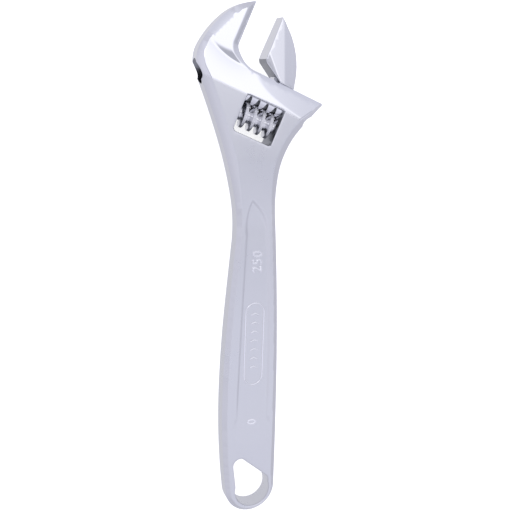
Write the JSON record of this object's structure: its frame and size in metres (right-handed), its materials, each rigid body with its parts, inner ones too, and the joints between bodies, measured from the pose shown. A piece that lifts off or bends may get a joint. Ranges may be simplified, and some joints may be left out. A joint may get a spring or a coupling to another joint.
{
  "type": "adjustable wrench",
  "caption": "Adjustable wrench: forged body with an angled head and hanging hole, sliding jaw on a rack, and a knurled worm that drives it.",
  "frame": {"origin": "middle of the bounding box, at the face that the wrench lies on", "axes": "+Y along the handle towards the jaws, +Z is the thickness and points up out of the flat side, +X is the side that the shelf points to"},
  "size_m": [0.0628, 0.2548, 0.013],
  "materials": {
    "body_chrome": "satin chrome plate over a forging, polished on the jaw",
    "jaw_chrome": "polished chrome plate",
    "worm_steel": "chrome plate, knurled crests",
    "pin_steel": "turned steel, bright",
    "spring_steel": "drawn spring wire"
  },
  "bodies": {
    "body": {"body": "body_chrome", "worm_pin": "pin_steel", "worm_spring": "spring_steel"},
    "jaw": {"movable_jaw": "jaw_chrome"},
    "worm": {"worm": "worm_steel"}
  },
  "joints": [
    {"name": "jaw_slide", "type": "slide", "parent": "body", "child": "jaw", "axis": [0.9239, -0.3827, 0], "range_m": [-0.0143, 0.0155]},
    {"name": "worm_turn", "type": "hinge", "parent": "body", "child": "worm", "pos_m": [-0.00171, 0.07453, 0.0065], "axis": [0.9239, -0.3827, 0], "range_deg": [-1270, 1172]}
  ],
  "couplings": [
    {"joint": "worm_turn", "follows": "jaw_slide", "rad_per_m": -1428}
  ]
}
